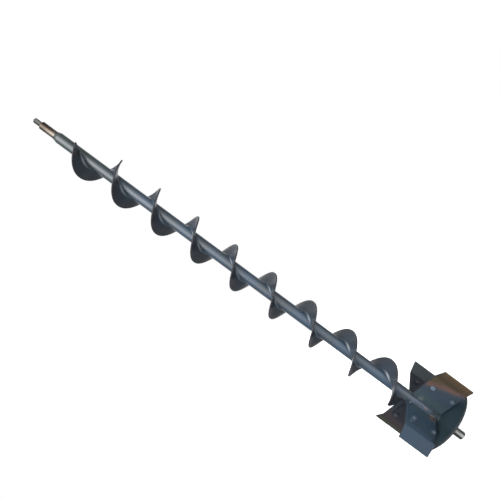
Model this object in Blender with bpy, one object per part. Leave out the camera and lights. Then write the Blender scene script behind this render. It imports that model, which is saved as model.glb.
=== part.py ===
"""Machine-driven soil auger, at rest.

A hollow core tube carries a drive shank at its top end, a helical flight made
of one-turn sections welded end to end, and a cutting head. The head has four
bent blades bolted to four lugs on the tube, a round base disc below them and a
pilot shank at the very bottom.

Metres. The origin is the middle of the drive shank's top face, +Z is up along
the auger's axis, and everything else hangs below the origin.
"""

import math

import bpy
from mathutils import Matrix, Vector

# ---------------------------------------------------------------- dimensions
GAP = 0.0003                # between pieces that touch

# Core tube
TUBE_RADIUS = 0.016
TUBE_BORE = 0.011
TUBE_TOP = -0.0781
TUBE_BEVEL_RADIUS = 0.0125  # the bevelled weld end beside the drive shank
TUBE_BEVEL_END = -0.0868

# Drive shank: hexagon, chamfered shoulder, round journal, spigot inside the tube
HEX_ACROSS_FLATS = 0.013
HEX_END = -0.0250
HEX_CHAMFER = 0.0006
SHOULDER_TOP_RADIUS = 0.0105
SHOULDER_END = -0.0266
SHANK_RADIUS = 0.012
SPIGOT_RADIUS = TUBE_BORE - GAP
SPIGOT_LENGTH = 0.050
SPIGOT_CHAMFER = 0.0015

# Helical flight, right-handed: the turn number n grows downwards
FLIGHT_RADIUS = 0.057
FLIGHT_THICKNESS = 0.004
FLIGHT_ROOT = TUBE_RADIUS + GAP
FLIGHT_DATUM = -0.1333      # height where n = 0
UPPER_PITCH = 0.1363
LOWER_PITCH = 0.1403        # the lower sections are stretched a little longer
PITCH_CHANGE = 5.5          # turn number where the pitch changes
FIRST_TURN = 0.207
RUN_OUT_TURN = 8.5          # from here the flight bends down to a blade's top
LAST_TURN = 8.615
FLIGHT_TO_BLADE = 0.0006
STEPS_PER_TURN = 36
SECTION_GAP = 0.0009        # turns, about 0.3 mm at the rim

# Base disc and pilot shank
DISC_RADIUS = 0.108
DISC_TOP = -1.4404
DISC_THICKNESS = 0.006
DISC_EDGE = 0.0008
TUBE_END = -1.451
PILOT_END = -1.531
PILOT_CHAMFER = 0.001
CENTRE_HOLE_RADIUS = 0.003
CENTRE_HOLE_DEPTH = 0.006

# Head: lugs, blades and their bolts. "Along" runs outwards from the axis in
# the lug's middle plane, "across" is square to it, and clockwise is negative.
ARM_COUNT = 4
FIRST_ARM = math.radians(53.5)
LUG_THICKNESS = 0.006
LUG_OUTER = 0.090
LUG_TOP = -1.3475
LUG_BOTTOM = -1.434
LUG_CORNER = 0.011
CORNER_STEPS = 5

BLADE_THICKNESS = 0.004
BLADE_ROOT = 0.0175
BLADE_TOP = -1.3353
BLADE_BOTTOM = -1.4361
BLADE_FOLD = 0.109
FOLD_ANGLE = math.radians(28)
FOLD_RADIUS = 0.008
FOLD_STEPS = 4
LIP_LENGTH = 0.042
LIP_RISE = 0.0086           # the lip's lower edge climbs towards its tip
NOTCH_RADIUS = 0.0045       # relief beside the weld at the blade's root
NOTCH_HEIGHT = -1.3425

BOLT_ALONG = 0.076
BOLT_HEIGHTS = (-1.3575, -1.424)
BOLT_RADIUS = 0.004
BOLT_HOLE = 0.0045
BOLT_HEAD_FLATS = 0.013
BOLT_HEAD_HEIGHT = 0.0053
BOLT_END_CHAMFER = 0.0008
THREAD_OUT = 0.0008         # bolt end that stands out of the nut
NUT_HEIGHT = 0.0040         # thin nuts
NUT_BORE = BOLT_RADIUS + GAP
WASHER_RADIUS = 0.008
WASHER_THICKNESS = 0.0016

# Facets round a turned piece; both divide by six, so hexagons keep corners
SHAFT_SIDES = 48
BOLT_SIDES = 24
DISC_SIDES = 72

# ----------------------------------------------------------------- materials
MATERIALS = {
    "slate_paint": ((0.045, 0.066, 0.088), 0.38, 0.1),
    "worn_steel": ((0.42, 0.31, 0.21), 0.32, 0.9),
    "dark_steel": ((0.14, 0.15, 0.13), 0.45, 0.8),
    "bright_steel": ((0.60, 0.61, 0.60), 0.25, 1.0),
    "zinc": ((0.55, 0.60, 0.66), 0.30, 1.0),
}


def clear_scene():
    for thing in list(bpy.data.objects):
        bpy.data.objects.remove(thing)


def material(name):
    """A Principled material with the named finish, made once."""
    made = bpy.data.materials.get(name)
    if made is None:
        colour, roughness, metallic = MATERIALS[name]
        made = bpy.data.materials.new(name)
        made.use_nodes = True
        shader = made.node_tree.nodes["Principled BSDF"]
        shader.inputs["Base Color"].default_value = (*colour, 1.0)
        shader.inputs["Roughness"].default_value = roughness
        shader.inputs["Metallic"].default_value = metallic
        made.diffuse_color = (*colour, 1.0)
    return made


def mesh_from(name, points, faces, finish, sharp_degrees=35):
    mesh = bpy.data.meshes.new(name)
    mesh.from_pydata([tuple(point) for point in points], [], faces)
    mesh.validate()
    mesh.materials.append(material(finish))
    mesh.shade_smooth()
    mesh.set_sharp_from_angle(angle=math.radians(sharp_degrees))
    return mesh


def place(name, mesh, matrix=None):
    """A named object that shows the mesh at the given place."""
    thing = bpy.data.objects.new(name, mesh)
    bpy.context.scene.collection.objects.link(thing)
    if matrix is not None:
        thing.matrix_world = matrix
    return thing


# ----------------------------------------------------------- turned pieces
def circle(radius):
    return lambda angle: radius


def hexagon(across_flats):
    """Radius of a hexagon with a corner at angle 0."""
    sixth = math.radians(60)

    def radius_at(angle):
        from_flat = angle % sixth - sixth / 2
        return across_flats / 2 / math.cos(from_flat)

    return radius_at


def turned(name, rings, sides, finish, hollow=False):
    """A closed body of stacked rings round the Z axis.

    rings lists (radius function or 0, z) from the top middle, down the outer
    side, to the bottom middle. A hollow piece's rings go down the outside and
    back up the inside, and its last ring joins its first.
    """
    points = []
    starts = []
    for radius_at, z in rings:
        starts.append(len(points))
        if radius_at == 0:
            points.append(Vector((0, 0, z)))
            continue
        for k in range(sides):
            angle = 2 * math.pi * k / sides
            radius = radius_at(angle)
            points.append(Vector((radius * math.cos(angle), radius * math.sin(angle), z)))
    pairs = list(zip(range(len(rings) - 1), range(1, len(rings))))
    if hollow:
        pairs.append((len(rings) - 1, 0))
    faces = []
    for upper, lower in pairs:
        for k in range(sides):
            after = (k + 1) % sides
            if rings[upper][0] == 0:
                faces.append((starts[upper], starts[lower] + k, starts[lower] + after))
            elif rings[lower][0] == 0:
                faces.append((starts[upper] + k, starts[lower], starts[upper] + after))
            else:
                faces.append((
                    starts[upper] + k,
                    starts[lower] + k,
                    starts[lower] + after,
                    starts[upper] + after,
                ))
    return mesh_from(name, points, faces, finish)


def core_tube():
    rings = [
        (circle(TUBE_BEVEL_RADIUS), TUBE_TOP),
        (circle(TUBE_RADIUS), TUBE_BEVEL_END),
        (circle(TUBE_RADIUS), TUBE_END),
        (circle(TUBE_BORE), TUBE_END),
        (circle(TUBE_BORE), TUBE_TOP),
    ]
    place("core_tube", turned("core_tube", rings, SHAFT_SIDES, "slate_paint", hollow=True))


def drive_shank():
    seat = TUBE_TOP + GAP
    spigot_end = TUBE_TOP - SPIGOT_LENGTH
    rings = [
        (0, 0.0),
        (circle(HEX_ACROSS_FLATS / 2 - HEX_CHAMFER / 2), 0.0),
        (hexagon(HEX_ACROSS_FLATS), -HEX_CHAMFER),
        (hexagon(HEX_ACROSS_FLATS), HEX_END),
        (circle(SHOULDER_TOP_RADIUS), HEX_END),
        (circle(SHANK_RADIUS), SHOULDER_END),
        (circle(SHANK_RADIUS), seat),
        (circle(SPIGOT_RADIUS), seat),
        (circle(SPIGOT_RADIUS), spigot_end + SPIGOT_CHAMFER),
        (circle(SPIGOT_RADIUS - SPIGOT_CHAMFER), spigot_end),
        (0, spigot_end),
    ]
    place("drive_shank", turned("drive_shank", rings, SHAFT_SIDES, "worn_steel"))


def pilot_shank():
    shoulder = TUBE_END - GAP
    spigot_top = TUBE_END + SPIGOT_LENGTH
    rings = [
        (0, spigot_top),
        (circle(SPIGOT_RADIUS - SPIGOT_CHAMFER), spigot_top),
        (circle(SPIGOT_RADIUS), spigot_top - SPIGOT_CHAMFER),
        (circle(SPIGOT_RADIUS), shoulder),
        (circle(SHANK_RADIUS), shoulder),
        (circle(SHANK_RADIUS), PILOT_END + PILOT_CHAMFER),
        (circle(SHANK_RADIUS - PILOT_CHAMFER), PILOT_END),
        (circle(CENTRE_HOLE_RADIUS), PILOT_END),
        (0, PILOT_END + CENTRE_HOLE_DEPTH),
    ]
    place("pilot_shank", turned("pilot_shank", rings, SHAFT_SIDES, "bright_steel"))


def base_disc():
    top, bottom = DISC_TOP, DISC_TOP - DISC_THICKNESS
    hole = circle(TUBE_RADIUS + GAP)
    rings = [
        (hole, top),
        (circle(DISC_RADIUS - DISC_EDGE), top),
        (circle(DISC_RADIUS), top - DISC_EDGE),
        (circle(DISC_RADIUS), bottom + DISC_EDGE),
        (circle(DISC_RADIUS - DISC_EDGE), bottom),
        (hole, bottom),
    ]
    place("base_disc", turned("base_disc", rings, DISC_SIDES, "slate_paint", hollow=True))


# ------------------------------------------------------------------- flight
def helix_height(turn):
    """Height of the even helix at a turn number."""
    upper = min(turn, PITCH_CHANGE)
    lower = max(turn - PITCH_CHANGE, 0)
    return FLIGHT_DATUM - upper * UPPER_PITCH - lower * LOWER_PITCH


def flight_height(turn):
    """Height of the flight's middle surface, with its run-out to the blade."""
    if turn <= RUN_OUT_TURN:
        return helix_height(turn)
    start = helix_height(RUN_OUT_TURN)
    end = BLADE_TOP + FLIGHT_TO_BLADE + FLIGHT_THICKNESS / 2
    share = (turn - RUN_OUT_TURN) / (LAST_TURN - RUN_OUT_TURN)
    return start + share * (end - start)


def flight_section(name, first, last):
    """One ribbon of flight between two turn numbers, square at its edges."""
    steps = max(2, round((last - first) * STEPS_PER_TURN))
    half = FLIGHT_THICKNESS / 2
    turns = [first + (last - first) * k / steps for k in range(steps + 1)]
    points = []
    for turn in turns:
        angle = -2 * math.pi * turn
        z = flight_height(turn)
        for radius, side in (
            (FLIGHT_ROOT, half),
            (FLIGHT_RADIUS, half),
            (FLIGHT_RADIUS, -half),
            (FLIGHT_ROOT, -half),
        ):
            points.append((radius * math.cos(angle), radius * math.sin(angle), z + side))
    faces = [(0, 1, 2, 3)]
    for k in range(steps):
        here, there = 4 * k, 4 * (k + 1)
        for corner in range(4):
            after = (corner + 1) % 4
            faces.append((here + after, here + corner, there + corner, there + after))
    end = 4 * steps
    faces.append((end + 3, end + 2, end + 1, end))
    return place(name, mesh_from(name, points, faces, "slate_paint"))


def helical_flight():
    """One-turn sections, butted end to end, and a short one at the head."""
    first = FIRST_TURN
    number = 1
    while first < LAST_TURN:
        last = min(first + 1, LAST_TURN)
        flight_section(f"flight_turn_{number}", first, last - SECTION_GAP)
        first = last
        number += 1


# --------------------------------------------------------------------- head
def arm_matrix(arm):
    """Turns +X into the arm's outward direction."""
    return Matrix.Rotation(FIRST_ARM + 2 * math.pi * arm / ARM_COUNT, 4, "Z")


def slab(name, outline, near, far, finish):
    """A plate in the XZ plane, with its faces at two values of Y."""
    count = len(outline)
    points = [(x, y, z) for y in (near, far) for x, z in outline]
    faces = [tuple(range(count)), tuple(reversed(range(count, 2 * count)))]
    for k in range(count):
        after = (k + 1) % count
        faces.append((after, k, count + k, count + after))
    return mesh_from(name, points, faces, finish)


def rounded(x, z, start_degrees):
    """Points round a quarter-circle corner of a lug, centred at (x, z)."""
    angles = [math.radians(start_degrees + 90 * k / CORNER_STEPS) for k in range(CORNER_STEPS + 1)]
    return [(x + LUG_CORNER * math.cos(a), z + LUG_CORNER * math.sin(a)) for a in angles]


def lug_outline():
    inner = TUBE_RADIUS + GAP
    bend = LUG_OUTER - LUG_CORNER
    lower = rounded(bend, LUG_BOTTOM + LUG_CORNER, -90)
    upper = rounded(bend, LUG_TOP - LUG_CORNER, 0)
    return [(inner, LUG_BOTTOM)] + lower + upper + [(inner, LUG_TOP)]


def blade_path():
    """Middle line of the bent blade: (along, across, direction, lip share)."""
    across = -LUG_THICKNESS / 2 - GAP - BLADE_THICKNESS / 2
    reach = FOLD_RADIUS * math.tan(FOLD_ANGLE / 2)
    start = BLADE_FOLD - reach
    stations = [(BLADE_ROOT, across, 0.0, 0.0)]
    for k in range(FOLD_STEPS + 1):
        turned_by = FOLD_ANGLE * k / FOLD_STEPS
        stations.append((
            start + FOLD_RADIUS * math.sin(turned_by),
            across - FOLD_RADIUS * (1 - math.cos(turned_by)),
            -turned_by,
            0.0,
        ))
    last_along, last_across = stations[-1][:2]
    stations.append((
        last_along + (LIP_LENGTH - reach) * math.cos(FOLD_ANGLE),
        last_across - (LIP_LENGTH - reach) * math.sin(FOLD_ANGLE),
        -FOLD_ANGLE,
        1.0,
    ))
    return stations


def bent_plate(name, finish):
    """The blade's plate, bent at the fold, before it is drilled."""
    half = BLADE_THICKNESS / 2
    points = []
    stations = blade_path()
    for along, across, direction, lip in stations:
        normal = Vector((-math.sin(direction), math.cos(direction)))
        for side, z in (
            (half, BLADE_TOP),
            (-half, BLADE_TOP),
            (-half, BLADE_BOTTOM + lip * LIP_RISE),
            (half, BLADE_BOTTOM + lip * LIP_RISE),
        ):
            points.append((along + side * normal.x, across + side * normal.y, z))
    faces = [(3, 2, 1, 0)]
    for k in range(len(stations) - 1):
        here, there = 4 * k, 4 * (k + 1)
        for corner in range(4):
            after = (corner + 1) % 4
            faces.append((here + corner, here + after, there + after, there + corner))
    end = 4 * (len(stations) - 1)
    faces.append((end, end + 1, end + 2, end + 3))
    return mesh_from(name, points, faces, finish)


def drill(name, along, z, radius):
    """A round cutter across an arm's plates, square to their faces."""
    half = LUG_THICKNESS + BLADE_THICKNESS + 0.01
    rings = [(0, half), (circle(radius), half), (circle(radius), -half), (0, -half)]
    cutter = place(name, turned(name, rings, BOLT_SIDES, "slate_paint"))
    cutter.matrix_world = Matrix.Translation((along, 0, z)) @ Matrix.Rotation(math.pi / 2, 4, "X")
    cutter.hide_render = True
    cutter.display_type = "WIRE"
    return cutter


def cut_mesh(name, mesh, cutters):
    """The mesh with the cutters taken out of it."""
    blank = place(f"{name}_blank", mesh)
    for cutter in cutters:
        cut = blank.modifiers.new(cutter.name, "BOOLEAN")
        cut.operation = "DIFFERENCE"
        cut.solver = "EXACT"
        cut.object = cutter
    bpy.context.view_layer.update()
    evaluated = blank.evaluated_get(bpy.context.evaluated_depsgraph_get())
    result = bpy.data.meshes.new_from_object(evaluated)
    result.name = name
    bpy.data.objects.remove(blank)
    return result


def arm_plates():
    """Four lugs, and the four blades that lie against their clockwise sides."""
    holes = [drill(f"hole_cutter_{k}", BOLT_ALONG, z, BOLT_HOLE) for k, z in enumerate(BOLT_HEIGHTS)]
    notch = drill("notch_cutter", BLADE_ROOT, NOTCH_HEIGHT, NOTCH_RADIUS)
    half = LUG_THICKNESS / 2
    lug = cut_mesh("lug", slab("lug_slab", lug_outline(), -half, half, "slate_paint"), holes)
    blade = cut_mesh("blade", bent_plate("blade_plate", "slate_paint"), holes + [notch])
    for cutter in holes + [notch]:
        bpy.data.objects.remove(cutter)
    for arm in range(ARM_COUNT):
        place(f"blade_lug_{arm + 1}", lug, arm_matrix(arm))
        place(f"cutting_blade_{arm + 1}", blade, arm_matrix(arm))


def bolt_mesh():
    """Head at the top, shank down the Z axis from the head's underside at 0."""
    stack = BLADE_THICKNESS + LUG_THICKNESS + WASHER_THICKNESS + NUT_HEIGHT + 4 * GAP
    end = -stack - THREAD_OUT
    rings = [
        (0, BOLT_HEAD_HEIGHT),
        (circle(BOLT_HEAD_FLATS / 2 - BOLT_END_CHAMFER / 2), BOLT_HEAD_HEIGHT),
        (hexagon(BOLT_HEAD_FLATS), BOLT_HEAD_HEIGHT - BOLT_END_CHAMFER),
        (hexagon(BOLT_HEAD_FLATS), 0.0),
        (circle(BOLT_RADIUS), 0.0),
        (circle(BOLT_RADIUS), end + BOLT_END_CHAMFER),
        (circle(BOLT_RADIUS - BOLT_END_CHAMFER), end),
        (0, end),
    ]
    return turned("bolt", rings, BOLT_SIDES, "zinc")


def nut_mesh():
    """A hexagon nut with its seat at 0, below which it hangs."""
    rings = [
        (circle(NUT_BORE), 0.0),
        (hexagon(BOLT_HEAD_FLATS), 0.0),
        (hexagon(BOLT_HEAD_FLATS), -NUT_HEIGHT + BOLT_END_CHAMFER),
        (circle(BOLT_HEAD_FLATS / 2 - BOLT_END_CHAMFER / 2), -NUT_HEIGHT),
        (circle(NUT_BORE), -NUT_HEIGHT),
    ]
    return turned("nut", rings, BOLT_SIDES, "zinc", hollow=True)


def washer_mesh():
    rings = [
        (circle(BOLT_HOLE), 0.0),
        (circle(WASHER_RADIUS), 0.0),
        (circle(WASHER_RADIUS), -WASHER_THICKNESS),
        (circle(BOLT_HOLE), -WASHER_THICKNESS),
    ]
    return turned("washer", rings, BOLT_SIDES, "zinc", hollow=True)


def arm_bolts():
    """Two bolts through each blade and lug: head on the blade, nut on the lug."""
    blade_face = -LUG_THICKNESS / 2 - GAP - BLADE_THICKNESS
    lug_face = LUG_THICKNESS / 2
    bolt, nut, washer = bolt_mesh(), nut_mesh(), washer_mesh()
    facing_out = Matrix.Rotation(math.pi / 2, 4, "X")
    for arm in range(ARM_COUNT):
        for row, z in enumerate(BOLT_HEIGHTS):
            label = f"{arm + 1}_{('upper', 'lower')[row]}"
            seats = (
                ("blade_bolt", bolt, blade_face - GAP),
                ("bolt_washer", washer, lug_face + GAP),
                ("bolt_nut", nut, lug_face + 2 * GAP + WASHER_THICKNESS),
            )
            for name, mesh, across in seats:
                seat = Matrix.Translation((BOLT_ALONG, across, z))
                place(f"{name}_{label}", mesh, arm_matrix(arm) @ seat @ facing_out)


def main():
    clear_scene()
    core_tube()
    drive_shank()
    helical_flight()
    arm_plates()
    arm_bolts()
    base_disc()
    pilot_shank()


main()
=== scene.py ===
"""Looks of the soil auger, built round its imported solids.

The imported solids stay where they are. The bolts, nuts and washers are shown as
they are, with new materials. Every other solid is replaced by a piece of the
same shape with rounded edges and smooth curved faces, and weld beads are added.
"""

import math
import random

import bmesh
import bpy
from mathutils import Matrix, Vector

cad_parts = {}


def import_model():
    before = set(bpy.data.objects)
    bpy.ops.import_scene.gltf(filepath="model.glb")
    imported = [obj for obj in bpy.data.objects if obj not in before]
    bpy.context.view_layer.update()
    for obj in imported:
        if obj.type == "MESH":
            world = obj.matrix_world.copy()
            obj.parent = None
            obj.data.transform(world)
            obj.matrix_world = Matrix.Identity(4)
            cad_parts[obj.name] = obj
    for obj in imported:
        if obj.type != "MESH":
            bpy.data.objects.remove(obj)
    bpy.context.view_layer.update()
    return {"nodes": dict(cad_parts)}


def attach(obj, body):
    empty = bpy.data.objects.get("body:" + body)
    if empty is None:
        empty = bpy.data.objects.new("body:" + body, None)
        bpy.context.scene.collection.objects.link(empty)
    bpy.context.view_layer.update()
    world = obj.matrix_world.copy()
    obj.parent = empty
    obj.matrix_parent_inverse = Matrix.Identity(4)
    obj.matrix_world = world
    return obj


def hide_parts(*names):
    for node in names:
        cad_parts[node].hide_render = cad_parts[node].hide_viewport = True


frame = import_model()
BODY = "root"

# ---------------------------------------------------------- sizes, in metres
UP = (0, 0, 1)

# The origin is the drive end, and the auger hangs down from it
TUBE_RADIUS = 0.016
TUBE_BORE = 0.011
TUBE_TOP = -0.0781
TUBE_END = -1.451
SHANK_RADIUS = 0.012
HEX_END = -0.0250
PILOT_END = -1.531

FLIGHT_RADIUS = 0.057
FLIGHT_INNER = TUBE_RADIUS + 0.0003
FLIGHT_HALF = 0.002
RIM_ROUNDING = 0.0007
# Places along the flight are in turns from its datum
FLIGHT_DATUM = -0.1333
UPPER_PITCH = 0.1363
LOWER_PITCH = 0.1403
PITCH_CHANGE = 5.5
FIRST_TURN = 0.207
LAST_TURN = 8.615
SECTION_GAP = 0.0009
FLIGHT_STEPS = 90
# Past this turn the flight drops to lie on a blade, at this height
RUN_OUT_TURN = 8.5
FLIGHT_END = -1.3327

DISC_RADIUS = 0.108
DISC_HOLE = TUBE_RADIUS + 0.0003
DISC_TOP = -1.4404
DISC_BOTTOM = -1.4464

# Turned profiles, (radius, height), from the top down. A hollow piece's profile
# goes back up the inside to where it began.
TUBE_PROFILE = (
    (0.0113, TUBE_TOP), (0.0123, TUBE_TOP),
    (0.0126, TUBE_TOP - 0.0003), (0.0128, TUBE_TOP - 0.0008),
    (0.0155, TUBE_TOP - 0.0078), (0.0157, TUBE_TOP - 0.0083),
    (TUBE_RADIUS, TUBE_TOP - 0.0091), (TUBE_RADIUS, TUBE_TOP - 0.0099),
    (TUBE_RADIUS, -0.45), (TUBE_RADIUS, -0.95),
    (TUBE_RADIUS, TUBE_END + 0.0020), (TUBE_RADIUS, TUBE_END + 0.0006),
    (0.0154, TUBE_END), (TUBE_BORE, TUBE_END),
    (TUBE_BORE, TUBE_TOP - 0.0003), (0.0113, TUBE_TOP),
)
PILOT_PROFILE = (
    (0.0090, TUBE_END + 0.0500), (0.0107, TUBE_END + 0.0480),
    (0.0107, TUBE_END - 0.0001), (0.0116, TUBE_END - 0.0003),
    (SHANK_RADIUS, TUBE_END - 0.0007), (SHANK_RADIUS, TUBE_END - 0.0013),
    (SHANK_RADIUS, PILOT_END + 0.0018), (SHANK_RADIUS, PILOT_END + 0.0012),
    (0.0118, PILOT_END + 0.0007), (0.0113, PILOT_END + 0.0002),
    (0.0108, PILOT_END), (0.0032, PILOT_END),
    (0.0026, PILOT_END + 0.0006), (0.0004, PILOT_END + 0.0048),
)
DISC_PROFILE = (
    (DISC_HOLE, DISC_TOP),
    (DISC_RADIUS - 0.0015, DISC_TOP), (DISC_RADIUS - 0.0009, DISC_TOP),
    (DISC_RADIUS - 0.0003, DISC_TOP - 0.0002), (DISC_RADIUS, DISC_TOP - 0.0008),
    (DISC_RADIUS, DISC_TOP - 0.0012), (DISC_RADIUS, DISC_BOTTOM + 0.0012),
    (DISC_RADIUS, DISC_BOTTOM + 0.0008), (DISC_RADIUS - 0.0003, DISC_BOTTOM + 0.0002),
    (DISC_RADIUS - 0.0009, DISC_BOTTOM), (DISC_RADIUS - 0.0015, DISC_BOTTOM),
    (DISC_HOLE, DISC_BOTTOM), (DISC_HOLE, DISC_TOP),
)
TURNED_SIDES = 96
DISC_SIDES = 180

# Arms 1 to 4 in the pieces' names are arms 0 to 3 here
ARM_COUNT = 4
FIRST_ARM = math.radians(53.5)
LUG_HALF = 0.003
LUG_REACH = 0.090
LUG_TOP = -1.3475
LUG_BOTTOM = -1.434
BLADE_FOLD = 0.109
BLADE_TOP = -1.3353
BLADE_BOTTOM = -1.4361

# Weld beads: the leg of each fillet, and how far its corner lies in the steel
BEAD_SINK = 0.0002
FLIGHT_BEAD = 0.0068
JOINT_BEAD = 0.0028
LUG_BEAD = 0.0050
SHANK_BEAD = 0.0018
DISC_TOP_BEAD = 0.0034
DISC_BOTTOM_BEAD = 0.0042
PILOT_BEAD = 0.0035
JOINT_BEAD_START = TUBE_RADIUS + 0.004
JOINT_BEAD_END = FLIGHT_RADIUS - 0.0015
JOINT_BEAD_RADIUS = 0.036
BLOB_SIZE = Vector((0.0052, 0.0052, 0.0042))
# A leg varies by this share of itself, and a bead has this many steps in a turn
BEAD_JITTER = 0.015
BEAD_STEPS = 72
# (out, up) round a fillet's section, in legs
BEAD_SECTION = (
    (-0.1, -0.1), (1.0, -0.05), (0.70, 0.10), (0.42, 0.24),
    (0.24, 0.42), (0.10, 0.70), (-0.05, 1.0),
)

# ------------------------------------------------------- the photo's viewpoint
CAMERA_PLACE = Vector((-0.07397, -1.24285, -0.80755))
CAMERA_YAW = math.radians(2.474)
CAMERA_PITCH = math.radians(-0.097)
CAMERA_ROLL = math.radians(36.455)
# The photo's frame isn't centred on where its lens pointed, hence the shift
SENSOR_MM = 36.0
LENS_MM = 31.1112
LENS_SHIFT = (-0.014, 0.086)


# ------------------------------------------------------------ material nodes
class Graph:
    """One material's node tree, with short ways to add what the looks need."""

    def __init__(self, name):
        self.material = bpy.data.materials.new(name)
        self.material.use_nodes = True
        self.tree = self.material.node_tree
        self.shader = self.tree.nodes["Principled BSDF"]
        self.place = self.add("ShaderNodeTexCoord").outputs["Object"]

    def add(self, kind, **settings):
        node = self.tree.nodes.new(kind)
        for key, value in settings.items():
            setattr(node, key, value)
        return node

    def put(self, socket, value):
        """Links a socket to another one, or sets it to a number or colour."""
        if isinstance(value, bpy.types.NodeSocket):
            self.tree.links.new(value, socket)
        elif socket.type == "RGBA" and len(value) == 3:
            socket.default_value = (*value, 1)
        else:
            socket.default_value = value

    def set(self, **values):
        """Sets the shader's inputs; an underscore stands for a space."""
        for key, value in values.items():
            self.put(self.shader.inputs[key.replace("_", " ")], value)

    def maths(self, operation, a, b=0.0):
        node = self.add("ShaderNodeMath", operation=operation)
        self.put(node.inputs[0], a)
        self.put(node.inputs[1], b)
        return node.outputs[0]

    def step(self, value, low, high):
        """0 below low, 1 above high, and smooth between; low may exceed high."""
        node = self.add("ShaderNodeMapRange", interpolation_type="SMOOTHSTEP")
        self.put(node.inputs["Value"], value)
        if low > high:
            low, high = high, low
            node.inputs["To Min"].default_value = 1
            node.inputs["To Max"].default_value = 0
        node.inputs["From Min"].default_value = low
        node.inputs["From Max"].default_value = high
        return node.outputs["Result"]

    def mix(self, share, a, b):
        node = self.add("ShaderNodeMix", data_type="RGBA")
        self.put(node.inputs[0], share)
        self.put(node.inputs[6], a)
        self.put(node.inputs[7], b)
        return node.outputs[2]

    def blend(self, share, a, b):
        node = self.add("ShaderNodeMix", data_type="FLOAT")
        self.put(node.inputs[0], share)
        self.put(node.inputs[2], a)
        self.put(node.inputs[3], b)
        return node.outputs[0]

    def stretched(self, x, y, z):
        """The place scaled along each axis: below 1 draws a pattern out."""
        node = self.add("ShaderNodeMapping")
        self.put(node.inputs["Vector"], self.place)
        node.inputs["Scale"].default_value = (x, y, z)
        return node.outputs["Vector"]

    def noise(self, scale, detail=3.0, rough=0.55, at=None, seed=0.0):
        node = self.add("ShaderNodeTexNoise", noise_dimensions="4D")
        self.put(node.inputs["Vector"], self.place if at is None else at)
        node.inputs["W"].default_value = seed
        node.inputs["Scale"].default_value = scale
        node.inputs["Detail"].default_value = detail
        node.inputs["Roughness"].default_value = rough
        return node.outputs["Fac"]

    def along(self, direction, offset=0.0):
        """Distance from the origin along a direction."""
        node = self.add("ShaderNodeVectorMath", operation="DOT_PRODUCT")
        self.put(node.inputs[0], self.place)
        node.inputs[1].default_value = direction
        return self.maths("ADD", node.outputs["Value"], offset)

    def near(self, centre, radius, ragged=0.5, seed=0.0):
        """1 at a point, 0 a radius away, with a ragged rim."""
        gap = self.add("ShaderNodeVectorMath", operation="DISTANCE")
        self.put(gap.inputs[0], self.place)
        gap.inputs[1].default_value = centre
        wobble = self.maths("SUBTRACT", self.noise(160, 4, seed=seed), 0.5)
        wobble = self.maths("MULTIPLY", wobble, 2 * ragged * radius)
        reach = self.maths("ADD", gap.outputs["Value"], wobble)
        return self.step(reach, radius, radius * 0.45)

    def from_axis(self):
        """Distance from the auger's axis."""
        flat = self.stretched(1, 1, 0)
        node = self.add("ShaderNodeVectorMath", operation="LENGTH")
        self.put(node.inputs[0], flat)
        return node.outputs["Value"]

    def edges(self, width):
        """1 along outward edges, 0 on faces."""
        rounded = self.add("ShaderNodeBevel", samples=6)
        rounded.inputs["Radius"].default_value = width
        plain = self.add("ShaderNodeNewGeometry")
        node = self.add("ShaderNodeVectorMath", operation="DOT_PRODUCT")
        self.put(node.inputs[0], rounded.outputs["Normal"])
        self.put(node.inputs[1], plain.outputs["Normal"])
        return self.step(node.outputs["Value"], 0.985, 0.86)

    def bump(self, height, distance, strength=1.0, under=None):
        node = self.add("ShaderNodeBump")
        self.put(node.inputs["Height"], height)
        node.inputs["Distance"].default_value = distance
        node.inputs["Strength"].default_value = strength
        if under is not None:
            self.put(node.inputs["Normal"], under)
        return node.outputs["Normal"]


# Colours, in linear light
PAINT_BLUE = (0.028, 0.050, 0.078)
PAINT_GREY = (0.032, 0.044, 0.056)
PAINT_DUSTY = (0.060, 0.074, 0.082)
EDGE_WARM = (0.032, 0.027, 0.032)
# Painted shade for the blades' upper edges
TOP_EDGE_PAINTED_SHADE = (0.010, 0.014, 0.018)
RUST_RED = (0.070, 0.034, 0.026)
RUST_OLIVE = (0.036, 0.023, 0.009)
RUST_GOLD = (0.066, 0.038, 0.015)
RUST_DARK = (0.020, 0.014, 0.009)
SCORCHED = (0.085, 0.066, 0.062)
SCORCHED_DARK = (0.034, 0.020, 0.020)
BARE_PINK = (0.130, 0.094, 0.092)
WELD_PALE = (0.075, 0.100, 0.115)
WELD_GREEN = (0.045, 0.062, 0.062)
ROOT_GREEN = (0.023, 0.039, 0.047)
ROOT_BLUE = (0.034, 0.058, 0.076)
# Painted shade: a dark teal laid where shade falls beside the arms and the disc
PAINTED_SHADE_TEAL = (0.013, 0.024, 0.028)
TUBE_GREEN = (0.026, 0.038, 0.036)
FLIGHT_WARM = (0.030, 0.031, 0.037)
FLIGHT_START = (0.014, 0.015, 0.020)
# Painted shade for the flight's rim
FLIGHT_RIM_PAINTED_SHADE = (0.014, 0.013, 0.017)
PLATE_DEEP = (0.013, 0.016, 0.024)
# Painted light for arm 3's plate, in the recess beside its lug
PLATE_PAINTED_LIGHT = (0.040, 0.066, 0.094)
PLATE_BROWN = (0.023, 0.017, 0.019)
STEEL_OLIVE = (0.026, 0.028, 0.018)
# Painted shade and painted light for the base disc's two sides
DISC_PAINTED_SHADE = (0.012, 0.024, 0.031)
DISC_PAINTED_LIGHT = (0.027, 0.043, 0.050)
# Painted shade for the base disc's rim
DISC_RIM_PAINTED_SHADE = (0.008, 0.012, 0.014)
HEXAGON_DULL = (0.050, 0.053, 0.046)
# Painted shade: the dark band down one side of bright steel
PAINTED_SHADE_BAND = (0.040, 0.040, 0.035)

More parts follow.
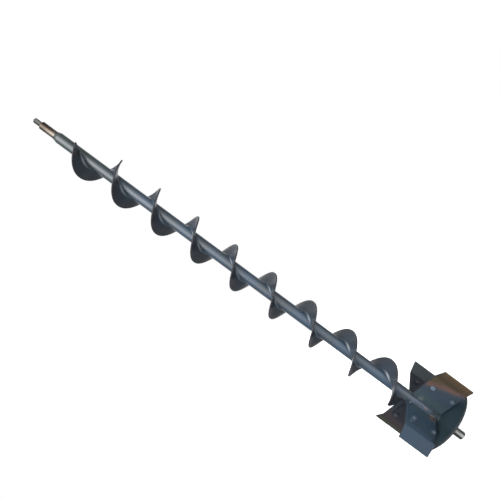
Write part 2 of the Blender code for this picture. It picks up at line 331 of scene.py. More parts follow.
# The two tones of each piece, one in patches over the other
FLIGHT_TONES = (0.031, 0.041, 0.054), (0.035, 0.040, 0.047)
DISC_TONES = (0.018, 0.033, 0.042), (0.017, 0.030, 0.036)
JOURNAL_TONES = (0.175, 0.150, 0.124), (0.095, 0.070, 0.050)
PILOT_TONES = (0.40, 0.41, 0.405), (0.10, 0.10, 0.09)
# Bolt finishes: the pale pair is a painted highlight, the dark pair painted shade
BOLT_PAINTED_HIGHLIGHT = (0.095, 0.125, 0.165), (0.060, 0.082, 0.110)
BOLT_DULL = (0.052, 0.074, 0.100), (0.038, 0.055, 0.076)
BOLT_PAINTED_SHADE = (0.030, 0.033, 0.045), (0.018, 0.020, 0.028)
# and of each arm's plates, arm 1 first
BLADE_TONES = (
    ((0.026, 0.036, 0.042), (0.025, 0.032, 0.034)),
    ((0.016, 0.020, 0.027), (0.014, 0.018, 0.023)),
    ((0.022, 0.043, 0.070), (0.021, 0.039, 0.060)),
    ((0.017, 0.029, 0.046), (0.017, 0.028, 0.038)),
)
LUG_TONES = (
    ((0.016, 0.020, 0.027), (0.014, 0.018, 0.023)),
    ((0.012, 0.014, 0.020), (0.010, 0.012, 0.016)),
    ((0.030, 0.054, 0.082), (0.030, 0.049, 0.068)),
    ((0.030, 0.054, 0.082), (0.030, 0.049, 0.068)),
)
LUG_ROOTS = ((0.013, 0.018, 0.024), (0.009, 0.011, 0.018), ROOT_BLUE, ROOT_GREEN)
LUG_SPECULAR = (0.32, 0.32, 0.5, 0.5)
# How much of a tone is left in the painted shade on a lug's outer edge, and of a stain where it
# fades
LUG_EDGE_PAINTED_SHADE = 0.42
FADE_SHADE = 0.55
STEEL_METALLIC = 0.85


def paint(name, seed, tone=PAINT_BLUE, other=PAINT_GREY, spots=(), rim=None,
          layers=(), gloss=0.30, worn=0.7, coat=0.0, dusty=0.35, specular=0.5):
    """Slate paint: two tones, dust, worn edges, and whatever lies over it.

    spots lists (centre, radius, colour) of bare or scorched patches and of painted shade. rim is
    the radius beyond which edge wear grows. layers lists functions of the graph
    that give (mask, colour, how rusty).
    """
    g = Graph(name)
    patches = g.step(g.noise(14, 4, 0.6, seed=seed), 0.40, 0.62)
    colour = g.mix(patches, tone, other)
    streaks = g.noise(30, 4, 0.65, at=g.stretched(1, 1, 0.22), seed=seed + 5)
    dust = g.maths("MULTIPLY", g.step(streaks, 0.55, 0.82), dusty)
    colour = g.mix(dust, colour, PAINT_DUSTY)
    chips = g.noise(120, 4, 0.6, seed=seed + 9)
    wear = g.maths("MULTIPLY", g.edges(0.0012), g.step(chips, 0.42, 0.62))
    wear = g.maths("MULTIPLY", wear, worn)
    if rim is not None:
        outer = g.step(g.from_axis(), rim, rim + 0.002)
        outer = g.maths("MULTIPLY", outer, g.step(chips, 0.30, 0.50))
        wear = g.maths("MAXIMUM", wear, g.maths("MULTIPLY", outer, 0.8))
    colour = g.mix(wear, colour, EDGE_WARM)
    rusty = 0.0
    for layer in layers:
        share, shade, rust = layer(g)
        colour = g.mix(share, colour, shade)
        rusty = g.maths("MAXIMUM", g.maths("MULTIPLY", share, rust), rusty)
    for centre, radius, shade in spots:
        share = g.near(centre, radius, seed=seed + radius)
        colour = g.mix(share, colour, shade)
        rusty = g.maths("MAXIMUM", share, rusty)
    smear = g.noise(22, 3, 0.5, seed=seed + 2)
    rough = g.blend(smear, gloss - 0.05, gloss + 0.10)
    rough = g.blend(dust, rough, 0.6)
    rough = g.blend(wear, rough, 0.75)
    peel = g.bump(g.noise(420, 2, 0.5, seed=seed), 0.00003, 0.15)
    normal = g.bump(g.noise(16, 2, 0.5, seed=seed + 7), 0.0006, 0.25, under=peel)
    if layers or spots:
        rough = g.blend(rusty, rough, 0.80)
        pits = g.maths("MULTIPLY", rusty, g.noise(300, 5, 0.7, seed=seed + 1))
        normal = g.bump(pits, 0.0003, 0.7, under=normal)
    g.set(Base_Color=colour, Roughness=rough, Normal=normal, Coat_Weight=coat,
          Coat_Roughness=0.25, Specular_IOR_Level=specular)
    return g.material


def turned_steel(name, tone, stain, seed, rough, dark_above=None, painted_shade_side=None,
                 fade=None):
    """Lathe-turned bare steel with fine rings and lengthwise streaks of stain.

    The steel is dull above dark_above, has a dark band of painted shade down the side that a
    given direction points to, and is darker towards fade's first height than at its second.
    """
    g = Graph(name)
    rings = g.noise(900, 2, 0.5, at=g.stretched(0.02, 0.02, 1), seed=seed)
    streaks = g.noise(90, 3, 0.6, at=g.stretched(1, 1, 0.18), seed=seed + 1)
    film = g.step(streaks, 0.40, 0.62)
    colour = g.mix(film, tone, stain)
    if fade is not None:
        dark, light = fade
        share = g.maths("MULTIPLY", g.step(g.along(UP), light, dark), 0.85)
        colour = g.mix(share, colour, tuple(FADE_SHADE * part for part in stain))
    # Painted shade: a dark band down the side this direction points to
    if painted_shade_side is not None:
        band = g.step(g.along(painted_shade_side), 0.0035, 0.0085)
        colour = g.mix(band, colour, PAINTED_SHADE_BAND)
    if dark_above is not None:
        top = g.step(g.along(UP), dark_above - 0.0015, dark_above + 0.0005)
        colour = g.mix(top, colour, HEXAGON_DULL)
    handled = g.noise(180, 3, 0.6, seed=seed + 2)
    roughness = g.blend(handled, rough - 0.06, rough + 0.14)
    normal = g.bump(rings, 0.00008, 0.5)
    g.set(Base_Color=colour, Metallic=STEEL_METALLIC, Roughness=roughness, Normal=normal)
    return g.material


def bolt_finish(name, seed, tone, shade):
    """Zinc plating dulled by paint, darker in patches."""
    g = Graph(name)
    bloom = g.step(g.noise(260, 4, 0.6, seed=seed), 0.38, 0.66)
    colour = g.mix(bloom, tone, shade)
    rough = g.blend(bloom, 0.52, 0.66)
    normal = g.bump(g.noise(900, 2, 0.5, seed=seed), 0.00005, 0.5)
    g.set(Base_Color=colour, Metallic=0.1, Roughness=rough, Normal=normal)
    return g.material


def bead(name, seed, spots=(), gloss=0.25, coat=0.9):
    """Painted weld bead; its ripples follow the bead's own run attribute."""
    g = Graph(name)
    run = g.add("ShaderNodeAttribute", attribute_name="run").outputs["Fac"]
    wobble = g.maths("MULTIPLY", g.noise(120, 2, seed=seed), 2.5)
    wave = g.maths("SINE", g.maths("ADD", g.maths("MULTIPLY", run, 2100), wobble))
    patches = g.step(g.noise(40, 4, 0.6, seed=seed), 0.40, 0.62)
    colour = g.mix(patches, PAINT_BLUE, PAINT_GREY)
    soot = g.step(g.noise(200, 4, 0.6, seed=seed + 2), 0.55, 0.72)
    colour = g.mix(g.maths("MULTIPLY", soot, 0.12), colour, EDGE_WARM)
    for centre, radius, shade in spots:
        colour = g.mix(g.near(centre, radius, seed=seed + radius), colour, shade)
    rough = g.blend(patches, gloss, gloss + 0.08)
    ripples = g.bump(wave, 0.00004, 0.4)
    g.set(Base_Color=colour, Roughness=rough, Normal=ripples, Coat_Weight=coat,
          Coat_Roughness=0.25)
    return g.material


# ------------------------------------------------------------- showing pieces
def add_piece(thing, material):
    """Links a new piece to the scene, on the auger's one body."""
    bpy.context.scene.collection.objects.link(thing)
    thing.data.materials.clear()
    thing.data.materials.append(material)
    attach(thing, BODY)
    return thing


def softened(node, material, edge, smooth_below):
    """Shows a solid by a copy with rounded edges and smooth curved faces.

    edge is the width of the rounding. Edges that turn by fewer degrees than
    smooth_below are left unrounded, as parts of a curve.
    """
    mesh = frame["nodes"][node].data.copy()
    mesh.name = node + "_shown"
    work = bmesh.new()
    work.from_mesh(mesh)
    bmesh.ops.remove_doubles(work, verts=work.verts, dist=0.00001)
    flat = math.radians(0.5)
    bmesh.ops.dissolve_limit(work, angle_limit=flat, verts=work.verts, edges=work.edges)
    bmesh.ops.recalc_face_normals(work, faces=work.faces)
    sharp = math.radians(smooth_below)
    weight = work.edges.layers.float.new("bevel_weight_edge")
    for line in work.edges:
        angle = line.calc_face_angle(0)
        line[weight] = 1.0 if angle > sharp else 0.0
        line.smooth = True
    for face in work.faces:
        face.smooth = True
    work.to_mesh(mesh)
    work.free()
    thing = bpy.data.objects.new(node + "_shown", mesh)
    add_piece(thing, material)
    bevel = thing.modifiers.new("rounded edges", "BEVEL")
    bevel.limit_method = "WEIGHT"
    bevel.width = edge
    bevel.segments = 2
    bevel.use_clamp_overlap = True
    even = thing.modifiers.new("even faces", "WEIGHTED_NORMAL")
    even.weight = 100
    even.keep_sharp = True
    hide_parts(node)
    return thing


def repainted(node, material):
    """Gives a solid that is shown as it is a new material."""
    thing = frame["nodes"][node]
    thing.data.materials.clear()
    thing.data.materials.append(material)


def lathed(node, profile, sides, material):
    """A smooth turned piece that stands for a solid.

    profile lists (radius, height) down the outside and, for a hollow piece,
    back up the inside. Corners in it keep their edges.
    """
    work = bmesh.new()
    rings = []
    for radius, height in profile:
        ring = []
        for k in range(sides):
            angle = 2 * math.pi * k / sides
            x, y = radius * math.cos(angle), radius * math.sin(angle)
            ring.append(work.verts.new((x, y, height)))
        rings.append(ring)
    hollow = profile[0] == profile[-1]
    if hollow:
        for vert in rings.pop():
            work.verts.remove(vert)
    pairs = list(zip(rings, rings[1:]))
    if hollow:
        pairs.append((rings[-1], rings[0]))
    for a, b in pairs:
        for k in range(sides):
            after = (k + 1) % sides
            work.faces.new((a[k], b[k], b[after], a[after]))
    if not hollow:
        work.faces.new(rings[0])
        work.faces.new(list(reversed(rings[-1])))
    for face in work.faces:
        face.smooth = True
    bmesh.ops.recalc_face_normals(work, faces=work.faces)
    for edge in work.edges:
        edge.smooth = edge.calc_face_angle(0) < math.radians(32)
    mesh = bpy.data.meshes.new(node + "_shown")
    work.to_mesh(mesh)
    work.free()
    thing = add_piece(bpy.data.objects.new(node + "_shown", mesh), material)
    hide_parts(node)
    return thing


# ------------------------------------------------------------ flight and welds
def helix_height(turn):
    """Height of the plain helix, whose pitch changes once."""
    upper = min(turn, PITCH_CHANGE)
    lower = max(turn - PITCH_CHANGE, 0)
    return FLIGHT_DATUM - upper * UPPER_PITCH - lower * LOWER_PITCH


def flight_height(turn):
    """Height of the flight's middle surface."""
    if turn <= RUN_OUT_TURN:
        return helix_height(turn)
    start = helix_height(RUN_OUT_TURN)
    share = (turn - RUN_OUT_TURN) / (LAST_TURN - RUN_OUT_TURN)
    return start + share * (FLIGHT_END - start)


def rounded_section(inner, outer, half, radius):
    """(radius, height) round a ribbon's section, its rim corners rounded."""
    points = [(inner, half), (outer - radius - 0.004, half), (outer - radius - 0.0004, half)]
    for k in range(4):
        angle = math.radians(90 - 30 * k)
        points.append((
            outer - radius + radius * math.cos(angle),
            half - radius + radius * math.sin(angle),
        ))
    lower = [(x, -y) for x, y in reversed(points)]
    return points + lower


def flight_skin(number, first, last, material):
    """One smooth flight section with a rounded rim, in place of its solid."""
    steps = max(8, round((last - first) * FLIGHT_STEPS))
    section = rounded_section(FLIGHT_INNER, FLIGHT_RADIUS, FLIGHT_HALF, RIM_ROUNDING)
    work = bmesh.new()
    rings = []
    for k in range(steps + 1):
        turn = first + (last - SECTION_GAP - first) * k / steps
        angle = -2 * math.pi * turn
        way = Vector((math.cos(angle), math.sin(angle), 0))
        height = flight_height(turn)
        rings.append([work.verts.new(way * x + Vector((0, 0, height + y))) for x, y in section])
    sides = len(section)
    for a, b in zip(rings, rings[1:]):
        for k in range(sides):
            after = (k + 1) % sides
            work.faces.new((a[k], a[after], b[after], b[k]))
    ends = [work.faces.new(list(reversed(rings[0]))), work.faces.new(rings[-1])]
    bmesh.ops.recalc_face_normals(work, faces=work.faces)
    for face in work.faces:
        face.smooth = face not in ends
    for edge in work.edges:
        edge.smooth = not any(face in ends for face in edge.link_faces)
    for a, b in zip(rings, rings[1:]):
        for k in (0, sides - 1):
            work.edges.get((a[k], b[k])).smooth = False
    name = f"flight_skin_{number}"
    mesh = bpy.data.meshes.new(name)
    work.to_mesh(mesh)
    work.free()
    thing = add_piece(bpy.data.objects.new(name, mesh), material)
    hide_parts(f"flight_turn_{number}")
    return thing


def swept_bead(name, path, leg, material, seed, closed=False):
    """A fillet bead along a path.

    path lists (corner, out, up): the corner of the joint, and the two
    directions of the plates that meet there. The bead tapers at open ends.
    """
    rng = random.Random(seed)
    count = len(path)
    size = [leg * (1 + rng.uniform(-BEAD_JITTER, BEAD_JITTER)) for _ in range(count)]
    if not closed:
        for k in range(3):
            taper = (k + 1.2) / 4
            size[k] *= taper
            size[-1 - k] *= taper
    work = bmesh.new()
    run_layer = work.verts.layers.float.new("run")
    rings = []
    run = 0.0
    for k, (corner, out, up) in enumerate(path):
        if k:
            run += (corner - path[k - 1][0]).length
        ring = []
        for x, y in BEAD_SECTION:
            vert = work.verts.new(corner + out * (x * size[k]) + up * (y * size[k]))
            vert[run_layer] = run
            ring.append(vert)
        rings.append(ring)
    sides = len(BEAD_SECTION)
    pairs = list(zip(range(count - 1), range(1, count)))
    if closed:
        pairs.append((count - 1, 0))
    for a, b in pairs:
        for k in range(sides):
            after = (k + 1) % sides
            work.faces.new((rings[a][k], rings[a][after], rings[b][after], rings[b][k]))
    if not closed:
        work.faces.new(reversed(rings[0]))
        work.faces.new(rings[-1])
    bmesh.ops.recalc_face_normals(work, faces=work.faces)
    for face in work.faces:
        face.smooth = True
    mesh = bpy.data.meshes.new(name)
    work.to_mesh(mesh)
    work.free()
    return add_piece(bpy.data.objects.new(name, mesh), material)


def root_bead(name, side, material, seed):
    """The long fillet between the tube and one face of the flight."""
    steps = round((LAST_TURN - FIRST_TURN) * BEAD_STEPS)
    path = []
    for k in range(steps + 1):
        turn = FIRST_TURN + (LAST_TURN - FIRST_TURN) * k / steps
        angle = -2 * math.pi * turn
        out = Vector((math.cos(angle), math.sin(angle), 0))
        height = flight_height(turn) + side * (FLIGHT_HALF - BEAD_SINK)
        corner = out * (TUBE_RADIUS - BEAD_SINK) + Vector((0, 0, height))
        path.append((corner, out, Vector((0, 0, side))))
    return swept_bead(name, path, FLIGHT_BEAD, material, seed)


def ring_bead(name, radius, height, side, leg, material, seed):
    """A fillet all the way round the axis, above a face (side 1) or below it."""
    path = []
    level = Vector((0, 0, height - side * BEAD_SINK))
    for k in range(BEAD_STEPS):
        angle = 2 * math.pi * k / BEAD_STEPS
        out = Vector((math.cos(angle), math.sin(angle), 0))
        corner = out * (radius - BEAD_SINK) + level
        path.append((corner, out, Vector((0, 0, side))))
    return swept_bead(name, path, leg, material, seed, closed=True)


def joint_bead(name, turn, material, seed):
    """The low bead across the flight where two sections meet."""
    angle = -2 * math.pi * turn
    out = Vector((math.cos(angle), math.sin(angle), 0))
    turn_length = 2 * math.pi * JOINT_BEAD_RADIUS
    pitch = UPPER_PITCH if turn < PITCH_CHANGE else LOWER_PITCH
    forward = Vector((math.sin(angle), -math.cos(angle), 0)) * turn_length
    forward = (forward - Vector((0, 0, pitch))).normalized()
    normal = forward.cross(out).normalized()
    if normal.z < 0:
        normal = -normal
    height = flight_height(turn)
    path = []
    for k in range(13):
        radius = JOINT_BEAD_START + (JOINT_BEAD_END - JOINT_BEAD_START) * k / 12
        corner = out * radius + Vector((0, 0, height)) + normal * (FLIGHT_HALF - 0.0004)
        corner -= forward * 0.0022
        path.append((corner, forward * 1.6, normal * 0.42))
    return swept_bead(name, path, JOINT_BEAD, material, seed)


def arm_axes(arm):
    """An arm's directions: outwards, and square across its blade."""
    angle = FIRST_ARM + 2 * math.pi * arm / ARM_COUNT
    out = Vector((math.cos(angle), math.sin(angle), 0))
    across = Vector((-math.sin(angle), math.cos(angle), 0))
    return out, across


def lug_bead(name, arm, side, material, seed):
    """The upright fillet between the tube and one face of a lug."""
    out, across = arm_axes(arm)
    depth = math.sqrt(TUBE_RADIUS ** 2 - LUG_HALF ** 2)
    path = []
    for k in range(25):
        height = LUG_TOP + (LUG_BOTTOM - LUG_TOP) * k / 24
        corner = out * (depth - 2 * BEAD_SINK) + across * side * (LUG_HALF - BEAD_SINK)
        path.append((corner + Vector((0, 0, height)), out, across * side))
    return swept_bead(name, path, LUG_BEAD, material, seed)


def lump(name, centre, size, material, seed):
    """An uneven blob of weld metal."""
    rng = random.Random(seed)
    work = bmesh.new()
    run_layer = work.verts.layers.float.new("run")
    bmesh.ops.create_icosphere(work, subdivisions=3, radius=1)
    waves = [
        (Vector((rng.uniform(-2, 2), rng.uniform(-2, 2), rng.uniform(-2, 2))), rng.uniform(0, 6))
        for _ in range(5)
    ]
    for vert in work.verts:
        swell = sum(math.sin(vert.co.dot(way) + start) for way, start in waves)
        vert[run_layer] = vert.co.z * size.z
        vert.co *= 1 + 0.07 * swell
        vert.co = Vector(vert.co[k] * size[k] for k in range(3)) + centre
    for face in work.faces:
        face.smooth = True
    mesh = bpy.data.meshes.new(name)
    work.to_mesh(mesh)
    work.free()
    return add_piece(bpy.data.objects.new(name, mesh), material)


# -------------------------------------------------------------- build the look
def arm_spot(arm, out_by, across_by, height):
    """A point on an arm."""
    out, across = arm_axes(arm)
    return out * out_by + across * across_by + Vector((0, 0, height))


# Bare, scorched and weld-coloured patches, and patches of painted shade, as (centre, radius,
# colour)
ROOT_SPOTS = (
    (tuple(arm_spot(2, 0.024, 0.004, -1.420)), 0.015, SCORCHED),
    (tuple(arm_spot(2, 0.025, 0.004, -1.424)), 0.006, SCORCHED_DARK),
)
BLOB_SPOTS = (
    (tuple(arm_spot(2, 0.0175, 0.001, -1.3455)), 0.007, WELD_PALE),
)
PLATE_SPOTS = (
    (tuple(arm_spot(3, 0.024, -0.006, -1.362)), 0.010, WELD_GREEN),
    (tuple(arm_spot(2, 0.030, 0.003, -1.3665)), 0.007, WELD_GREEN),
)
# Painted shade at the lower end of arm 3's plate beside the disc, and a pale spot at its fold's
# bottom corner
CORNER_PAINTED_SHADE_AND_PALE_SPOTS = (
    (tuple(arm_spot(2, 0.100, 0.002, LUG_BOTTOM)), 0.014, PAINTED_SHADE_TEAL),
    (tuple(arm_spot(2, BLADE_FOLD - 0.0005, 0.002, BLADE_BOTTOM)), 0.0035, WELD_PALE),
)
# Painted shade over the -Y side of the weld on the disc's top
DISC_WELD_PAINTED_SHADE = (
    ((0.0, -0.018, -1.4390), 0.040, PAINTED_SHADE_TEAL),
)
# Painted shade on the tube's -Y side just above the disc, and a bare pink spot
TUBE_PAINTED_SHADE_AND_BARE_SPOTS = (
    ((-0.0030, -0.0157, -1.4270), 0.026, PAINTED_SHADE_TEAL),
    ((-0.0040, -0.0155, -1.3915), 0.0095, BARE_PINK),
)


def lip_rust(g):
    """Rust over arm 4's lip and the upper outer corner of its plate."""
    out, _ = arm_axes(3)
    reach = g.along(tuple(out))
    slant = g.maths("MULTIPLY", g.along(UP, -BLADE_BOTTOM), 0.36)
    wobble = g.maths("SUBTRACT", g.noise(30, 3, 0.5, seed=4), 0.5)
    wobble = g.maths("MULTIPLY", wobble, 0.020)
    edge = g.maths("ADD", g.maths("ADD", reach, slant), wobble)
    patchy = g.maths("SUBTRACT", g.noise(60, 4, 0.6, seed=8), 0.5)
    patchy = g.maths("MULTIPLY", patchy, 0.022)
    ripe = g.step(g.maths("ADD", reach, patchy), 0.118, 0.146)
    colour = g.mix(ripe, RUST_OLIVE, RUST_GOLD)
    colour = g.mix(g.step(edge, 0.130, 0.114), colour, RUST_RED)
    scale = g.maths("MULTIPLY", g.step(g.noise(170, 4, 0.6, seed=6), 0.52, 0.70), 0.6)
    colour = g.mix(scale, colour, RUST_DARK)
    return g.step(edge, 0.100, 0.118), colour, 1.0


def root_tone(arm, tone):
    """A tone of its own on the part of an arm beside the tube."""
    out, _ = arm_axes(arm)

    def layer(g):
        wobble = g.maths("MULTIPLY", g.noise(35, 3, 0.5, seed=arm), 0.03)
        reach = g.maths("ADD", g.along(tuple(out)), wobble)
        return g.step(reach, 0.075, 0.045), tone, 0.0

    return layer


def deep_plate(g):
    """Arm 1's blade inside its fold, darker than its lip."""
    out, _ = arm_axes(0)
    inside = g.step(g.along(tuple(out)), BLADE_FOLD + 0.0005, BLADE_FOLD - 0.0025)
    return inside, PLATE_DEEP, 0.2


def painted_light_plate(g):
    """Painted light on arm 3's blade inside its fold, lighter than its lip."""
    out, _ = arm_axes(2)
    inside = g.step(g.along(tuple(out)), BLADE_FOLD + 0.0005, BLADE_FOLD - 0.0015)
    return inside, PLATE_PAINTED_LIGHT, 0.0


def top_edge_painted_shade(g):
    """Painted shade on the sawn upper edge of a blade."""
    edge = g.step(g.along(UP), BLADE_TOP - 0.0009, BLADE_TOP - 0.0003)
    return edge, TOP_EDGE_PAINTED_SHADE, 0.8


def dark_start(g):
    """The darker start of the flight, nearest the drive end."""
    angle = -2 * math.pi * FIRST_TURN
    reach = 0.038
    centre = (reach * math.cos(angle), reach * math.sin(angle), flight_height(FIRST_TURN))
    return g.near(centre, 0.036, ragged=0.2), FLIGHT_START, 0.6


def warm_outside(g):
    """The flight's outer part, a little warmer and darker."""
    outer = g.step(g.from_axis(), 0.030, 0.054)
    return g.maths("MULTIPLY", outer, 0.6), FLIGHT_WARM, 0.0


def flight_rim_painted_shade(g):
    """Painted shade on the flight's rim."""
    rim = g.step(g.from_axis(), FLIGHT_RADIUS - 0.0010, FLIGHT_RADIUS - 0.0004)
    return rim, FLIGHT_RIM_PAINTED_SHADE, 0.4


def brown_plate(g):
    """The thin brown film on arm 2's blade, outside its greyer root."""
    out, _ = arm_axes(1)
    reach = g.along(tuple(out))
    wobble = g.maths("MULTIPLY", g.noise(25, 3, 0.5, seed=14), 0.02)
    return g.step(g.maths("ADD", reach, wobble), 0.075, 0.100), PLATE_BROWN, 0.5


def olive_edge(g):
    """Bare olive-grey steel along the lip's cutting edge on arm 2."""
    out, _ = arm_axes(1)
    return g.step(g.along(tuple(out)), 0.119, 0.129), STEEL_OLIVE, 0.4


def lug_edge_painted_shade(arm, tone):
    """Painted shade on the sawn edge round the outside of a lug."""
    out, _ = arm_axes(arm)
    shade = tuple(LUG_EDGE_PAINTED_SHADE * part for part in tone)

    def layer(g):
        return g.step(g.along(tuple(out)), LUG_REACH - 0.0009, LUG_REACH - 0.0004), shade, 0.3

    return layer


def disc_painted_shade(g):
    """Painted shade: a deeper colour on the base disc's +X side."""
    return g.step(g.along((1, 0, 0)), 0.01, 0.06), DISC_PAINTED_SHADE, 0.0


def disc_painted_light(g):
    """Painted light: a paler colour on the base disc's -X side."""
    return g.step(g.along((1, 0, 0)), -0.02, -0.07), DISC_PAINTED_LIGHT, 0.0


def disc_rim_painted_shade(g):
    """Painted shade on the base disc's sawn rim."""
    return g.step(g.from_axis(), DISC_RADIUS - 0.0012, DISC_RADIUS - 0.0007), DISC_RIM_PAINTED_SHADE, 0.8


def grey_drive_end(g):
    """The tube's top end, where the paint is greyer and greener."""
    return g.step(g.along(UP), -0.42, -0.14), TUBE_GREEN, 0.0


def flights():
    """The flight's sections, the beads between them and those along the tube."""
    skin = paint("flight_paint", 10.0, *FLIGHT_TONES, rim=FLIGHT_RADIUS - 0.0015,
                 layers=(warm_outside, flight_rim_painted_shade, dark_start), worn=0.3, dusty=0.2)
    welds = bead("weld_paint", 3.0)
    first = FIRST_TURN
    number = 1
    while first < LAST_TURN:
        last = min(first + 1, LAST_TURN)
        flight_skin(number, first, last, skin)
        if last < LAST_TURN - 0.01:
            joint_bead(f"weld_joint_{number}", last, welds, 80 + number)
        first = last
        number += 1
    root_bead("weld_flight_top", 1, welds, 1)
    root_bead("weld_flight_bottom", -1, welds, 2)


def shafts():
    """The tube, both shanks, the base disc and the beads round them."""
    tube = paint("tube_paint", 7.0, gloss=0.27, coat=0.5, spots=TUBE_PAINTED_SHADE_AND_BARE_SPOTS,
                 layers=(grey_drive_end,), worn=0.0, dusty=0.12)
    lathed("core_tube", TUBE_PROFILE, TURNED_SIDES, tube)
    steel = turned_steel("journal_steel", *JOURNAL_TONES, 2.0, rough=0.17,
                         dark_above=HEX_END, fade=(HEX_END - 0.010, TUBE_TOP + 0.008))
    softened("drive_shank", steel, 0.0004, 30)
    pilot = turned_steel("pilot_steel", *PILOT_TONES, 5.0, rough=0.18, painted_shade_side=(-1, 0, 0))
    lathed("pilot_shank", PILOT_PROFILE, TURNED_SIDES, pilot)
    disc = paint("disc_paint", 12.0, *DISC_TONES, worn=0.0,
                 layers=(disc_painted_shade, disc_painted_light, disc_rim_painted_shade), gloss=0.34)
    lathed("base_disc", DISC_PROFILE, DISC_SIDES, disc)
    welds = bead("weld_ring_paint", 6.0, gloss=0.6, coat=0.0, spots=DISC_WELD_PAINTED_SHADE)
    ring_bead("weld_shank", SHANK_RADIUS, TUBE_TOP, 1, SHANK_BEAD, welds, 21)
    ring_bead("weld_disc_top", TUBE_RADIUS, DISC_TOP, 1, DISC_TOP_BEAD, welds, 22)
    ring_bead("weld_disc_bottom", TUBE_RADIUS, DISC_BOTTOM, -1, DISC_BOTTOM_BEAD, welds, 23)
    ring_bead("weld_pilot", SHANK_RADIUS, TUBE_END, -1, PILOT_BEAD, welds, 24)


def arms():
    """Each arm's blade, lug, bolts and beads."""
    welds = bead("weld_lug_paint", 8.0, spots=ROOT_SPOTS + BLOB_SPOTS, gloss=0.4, coat=0.0)
    blades = (
        paint("blade_1_paint", 31.0, *BLADE_TONES[0], worn=0.25, specular=0.38,
              layers=(deep_plate, top_edge_painted_shade)),
        paint("blade_2_paint", 32.0, *BLADE_TONES[1], worn=0.25, specular=0.32,
              gloss=0.50, layers=(brown_plate, olive_edge, top_edge_painted_shade)),
        paint("blade_3_paint", 33.0, *BLADE_TONES[2], worn=0.25,
              gloss=0.36, layers=(painted_light_plate, top_edge_painted_shade), spots=CORNER_PAINTED_SHADE_AND_PALE_SPOTS),
        paint("blade_4_paint", 34.0, *BLADE_TONES[3], worn=0.25, gloss=0.46,
              layers=(root_tone(3, ROOT_GREEN), lip_rust, top_edge_painted_shade), spots=PLATE_SPOTS),
    )
    # One bolt finish in three brightnesses: painted highlight, plain, and painted shade
    pale = bolt_finish("bolts_painted_highlight", 51.0, *BOLT_PAINTED_HIGHLIGHT)
    dull = bolt_finish("bolts_dull", 53.0, *BOLT_DULL)
    dark = bolt_finish("bolts_painted_shade", 52.0, *BOLT_PAINTED_SHADE)
    for arm in range(ARM_COUNT):
        number = arm + 1
        tones = LUG_TONES[arm]
        lug = paint(f"lug_{number}_paint", 41.0 + arm, *tones, spots=ROOT_SPOTS + PLATE_SPOTS,
                    layers=(root_tone(arm, LUG_ROOTS[arm]), lug_edge_painted_shade(arm, tones[0])),
                    gloss=0.45, worn=0.0, specular=LUG_SPECULAR[arm])
        softened(f"cutting_blade_{number}", blades[arm], 0.0006, 20)
        softened(f"blade_lug_{number}", lug, 0.0003, 35)
        for level in ("upper", "lower"):
            # Painted shade on the bolts of arms 1 and 2, a painted highlight on arm 4's upper
            # bolt
            finish = dark if arm < 2 else dull
            if (number, level) == (4, "upper"):
                finish = pale
            repainted(f"blade_bolt_{number}_{level}", finish)
            repainted(f"bolt_nut_{number}_{level}", finish)
            repainted(f"bolt_washer_{number}_{level}", finish)
        lug_bead(f"weld_lug_{number}_left", arm, 1, welds, 60 + arm)
        lug_bead(f"weld_lug_{number}_right", arm, -1, welds, 70 + arm)
        centre = arm_spot(arm, 0.0185, 0.0, LUG_TOP + 0.0012)
        lump(f"weld_blob_{number}", centre, BLOB_SIZE, welds, 90 + arm)


# ------------------------------------------------------ camera, light and floor
def camera():
    """A camera at the photo's viewpoint, turned and shifted as its frame is."""
    data = bpy.data.cameras.new("camera")
    thing = bpy.data.objects.new("camera", data)
    bpy.context.scene.collection.objects.link(thing)
    flat = Vector((math.sin(CAMERA_YAW), math.cos(CAMERA_YAW), 0))
    level = Vector((-math.cos(CAMERA_YAW), math.sin(CAMERA_YAW), 0))
    ahead = flat * math.cos(CAMERA_PITCH) + Vector((0, 0, math.sin(CAMERA_PITCH)))
    towards_pilot = level.cross(ahead)
    c, s = math.cos(CAMERA_ROLL), math.sin(CAMERA_ROLL)
    right = towards_pilot * c - level * s
    down = towards_pilot * s + level * c
    turn = Matrix((right, -down, -ahead)).transposed().to_4x4()
    thing.matrix_world = Matrix.Translation(CAMERA_PLACE) @ turn
    data.sensor_width = SENSOR_MM
    data.lens = LENS_MM
    data.shift_x, data.shift_y = LENS_SHIFT
    data.clip_start = 0.05
    data.clip_end = 50
    bpy.context.scene.camera = thing


# Broad soft lamps, as (direction, tightness, strength): a high one and a low one
# on the camera's side, light thrown up from below, and one behind.
LAMPS = (
    ((-0.36, -0.74, 0.57), 6.0, 6.8),
    ((0.42, -0.90, -0.15), 6.0, 1.3),
    ((0.0, -0.60, -0.80), 5.0, 1.1),
    ((0.05, 0.98, 0.20), 3.0, 1.0),
)
AMBIENT = 0.28
FLOOR_RADIUS = 3.5
FLOOR_GAP = 0.0004


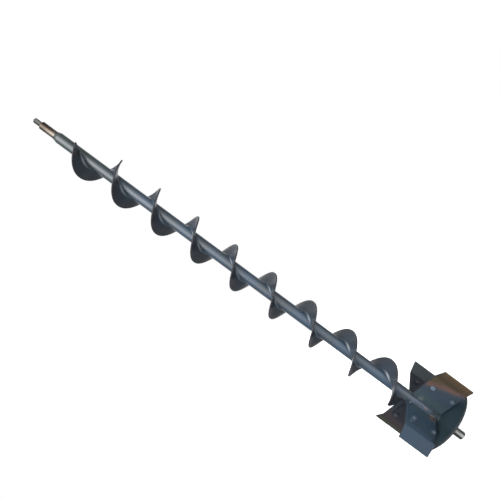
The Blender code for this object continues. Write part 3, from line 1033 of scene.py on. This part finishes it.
def world():
    """White to the eye, and broad soft lamps to the surfaces it lights."""
    made = bpy.data.worlds.new("studio")
    made.use_nodes = True
    tree = made.node_tree
    tree.nodes.clear()
    link = tree.links.new
    way = tree.nodes.new("ShaderNodeTexCoord").outputs["Generated"]

    def maths(operation, a, b):
        node = tree.nodes.new("ShaderNodeMath")
        node.operation = operation
        link(a, node.inputs[0])
        if isinstance(b, bpy.types.NodeSocket):
            link(b, node.inputs[1])
        else:
            node.inputs[1].default_value = b
        return node.outputs[0]

    def lamp(direction, tightness, strength):
        dot = tree.nodes.new("ShaderNodeVectorMath")
        dot.operation = "DOT_PRODUCT"
        link(way, dot.inputs[0])
        dot.inputs[1].default_value = Vector(direction).normalized()
        facing = maths("MAXIMUM", dot.outputs["Value"], 0.0)
        return maths("MULTIPLY", maths("POWER", facing, tightness), strength)

    total = lamp(*LAMPS[0])
    for direction, tightness, strength in LAMPS[1:]:
        total = maths("ADD", total, lamp(direction, tightness, strength))
    total = maths("ADD", total, AMBIENT)

    seen = tree.nodes.new("ShaderNodeBackground")
    seen.inputs["Color"].default_value = (1, 1, 1, 1)
    felt = tree.nodes.new("ShaderNodeBackground")
    felt.inputs["Color"].default_value = (0.95, 0.97, 1, 1)
    link(total, felt.inputs["Strength"])
    ray = tree.nodes.new("ShaderNodeLightPath")
    mix = tree.nodes.new("ShaderNodeMixShader")
    out = tree.nodes.new("ShaderNodeOutputWorld")
    link(ray.outputs["Is Camera Ray"], mix.inputs[0])
    link(felt.outputs[0], mix.inputs[1])
    link(seen.outputs[0], mix.inputs[2])
    link(mix.outputs[0], out.inputs[0])
    bpy.context.scene.world = made


def floor():
    """A pale round floor under the pilot, bright enough to meet the backdrop."""
    work = bmesh.new()
    rim = []
    for k in range(TURNED_SIDES):
        angle = 2 * math.pi * k / TURNED_SIDES
        x, y = FLOOR_RADIUS * math.cos(angle), FLOOR_RADIUS * math.sin(angle)
        rim.append(work.verts.new((x, y, PILOT_END - FLOOR_GAP)))
    work.faces.new(rim)
    mesh = bpy.data.meshes.new("floor")
    work.to_mesh(mesh)
    work.free()
    g = Graph("floor_pale")
    g.set(Base_Color=(0.80, 0.80, 0.80), Roughness=0.9, Emission_Color=(1, 1, 1),
          Emission_Strength=0.72, Specular_IOR_Level=0.0)
    mesh.materials.append(g.material)
    thing = bpy.data.objects.new("floor", mesh)
    bpy.context.scene.collection.objects.link(thing)
    thing.visible_diffuse = False
    thing.visible_glossy = False


flights()
shafts()
arms()
camera()
world()
floor()
bpy.context.scene.view_settings.view_transform = "Standard"
